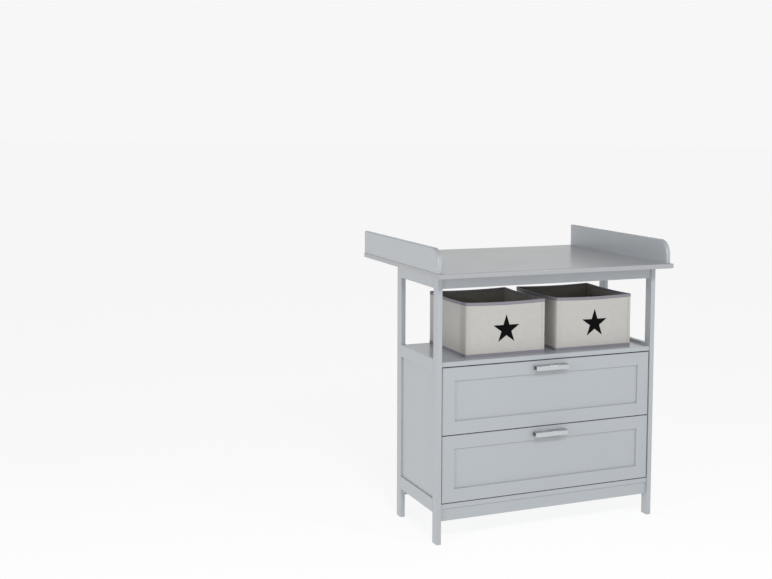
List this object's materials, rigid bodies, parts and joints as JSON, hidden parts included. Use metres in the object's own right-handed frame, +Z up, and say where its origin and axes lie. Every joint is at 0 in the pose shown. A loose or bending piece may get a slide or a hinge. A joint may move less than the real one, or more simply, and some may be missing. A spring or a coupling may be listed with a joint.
{
  "type": "changing dresser",
  "caption": "Painted changing dresser: a deep changing top with side guards, over an open bay with fabric baskets and drawers on roller runners.",
  "frame": {"origin": "on the floor, under the middle of the changing top", "axes": "+X to the right as seen from the front, +Y from the front to the wall, +Z up from the floor"},
  "size_m": [0.85, 0.68, 0.953],
  "materials": {
    "painted_board": "light cool grey furniture paint, satin",
    "top_board": "light grey furniture paint, satin, wipe-clean",
    "bare_wood": "bare beech",
    "drawer_board": "white foil on particle board",
    "hardboard": "light grey lacquered hardboard",
    "pull_metal": "satin",
    "runner_steel": "white epoxy powder coat",
    "roller_nylon": "white nylon",
    "zinc_steel": "bright zinc plating",
    "cam_zinc": "die-cast zinc",
    "basket_cloth": "light greige nonwoven fabric with dark lining",
    "binding_tape": "grey-purple woven binding tape",
    "base_card": "dark cloth over stiff card"
  },
  "bodies": {
    "carcass": {"back_panel": "hardboard", "bottom_board": "painted_board", "cam_bolts": "cam_zinc", "cam_locks": "cam_zinc", "carcass_screws": "zinc_steel", "front_apron": "painted_board", "front_plinth": "painted_board", "guard_screws": "zinc_steel", "left_bottom_rail": "painted_board", "left_front_leg": "painted_board", "left_guard": "painted_board", "left_middle_rail": "painted_board", "left_rear_leg": "painted_board", "left_side_panel": "painted_board", "left_top_rail": "painted_board", "lower_cabinet_runners": "runner_steel", "rear_apron": "painted_board", "rear_plinth": "painted_board", "right_bottom_rail": "painted_board", "right_front_leg": "painted_board", "right_guard": "painted_board", "right_middle_rail": "painted_board", "right_rear_leg": "painted_board", "right_side_panel": "painted_board", "right_top_rail": "painted_board", "runner_battens": "bare_wood", "shelf": "painted_board", "tabletop": "top_board", "top_brackets": "zinc_steel", "upper_cabinet_runners": "runner_steel"},
    "upper_drawer": {"upper_drawer_front": "painted_board", "upper_drawer_left_side": "drawer_board", "upper_drawer_right_side": "drawer_board", "upper_drawer_back": "drawer_board", "upper_drawer_bottom": "hardboard", "upper_drawer_screws": "zinc_steel", "upper_drawer_connectors": "cam_zinc", "upper_drawer_runners": "runner_steel", "upper_pull": "pull_metal"},
    "lower_drawer": {"lower_drawer_front": "painted_board", "lower_drawer_left_side": "drawer_board", "lower_drawer_right_side": "drawer_board", "lower_drawer_back": "drawer_board", "lower_drawer_bottom": "hardboard", "lower_drawer_screws": "zinc_steel", "lower_drawer_connectors": "cam_zinc", "lower_drawer_runners": "runner_steel", "lower_pull": "pull_metal"},
    "upper_front_roller_pair": {"upper_front_rollers": "roller_nylon"},
    "upper_rear_roller_pair": {"upper_rear_rollers": "roller_nylon"},
    "lower_front_roller_pair": {"lower_front_rollers": "roller_nylon"},
    "lower_rear_roller_pair": {"lower_rear_rollers": "roller_nylon"},
    "left_basket": {"left_basket_body": "basket_cloth", "left_basket_binding": "binding_tape", "left_basket_base": "base_card"},
    "right_basket": {"right_basket_body": "basket_cloth", "right_basket_binding": "binding_tape", "right_basket_base": "base_card"}
  },
  "joints": [
    {"name": "upper_drawer_slide", "type": "slide", "parent": "carcass", "child": "upper_drawer", "axis": [0, -1, 0], "range_m": [0, 0.25]},
    {"name": "lower_drawer_slide", "type": "slide", "parent": "carcass", "child": "lower_drawer", "axis": [0, -1, 0], "range_m": [0, 0.25]},
    {"name": "upper_front_roller_spin", "type": "hinge", "parent": "carcass", "child": "upper_front_roller_pair", "pos_m": [0, -0.234, 0.3775], "axis": [1, 0, 0], "range_deg": [0, 1440]},
    {"name": "upper_rear_roller_spin", "type": "hinge", "parent": "upper_drawer", "child": "upper_rear_roller_pair", "pos_m": [0, 0.038, 0.3767], "axis": [1, 0, 0], "range_deg": [0, 1440]},
    {"name": "lower_front_roller_spin", "type": "hinge", "parent": "carcass", "child": "lower_front_roller_pair", "pos_m": [0, -0.234, 0.158], "axis": [1, 0, 0], "range_deg": [0, 1440]},
    {"name": "lower_rear_roller_spin", "type": "hinge", "parent": "lower_drawer", "child": "lower_rear_roller_pair", "pos_m": [0, 0.038, 0.1572], "axis": [1, 0, 0], "range_deg": [0, 1440]},
    {"name": "left_basket_slide", "type": "slide", "parent": "carcass", "child": "left_basket", "axis": [0, -1, 0], "range_m": [0, 0.17]},
    {"name": "right_basket_slide", "type": "slide", "parent": "carcass", "child": "right_basket", "axis": [0, -1, 0], "range_m": [0, 0.17]}
  ],
  "couplings": [
    {"joint": "upper_front_roller_spin", "follows": "upper_drawer_slide", "rad_per_m": 100},
    {"joint": "upper_rear_roller_spin", "follows": "upper_drawer_slide", "rad_per_m": 100},
    {"joint": "lower_front_roller_spin", "follows": "lower_drawer_slide", "rad_per_m": 100},
    {"joint": "lower_rear_roller_spin", "follows": "lower_drawer_slide", "rad_per_m": 100}
  ]
}
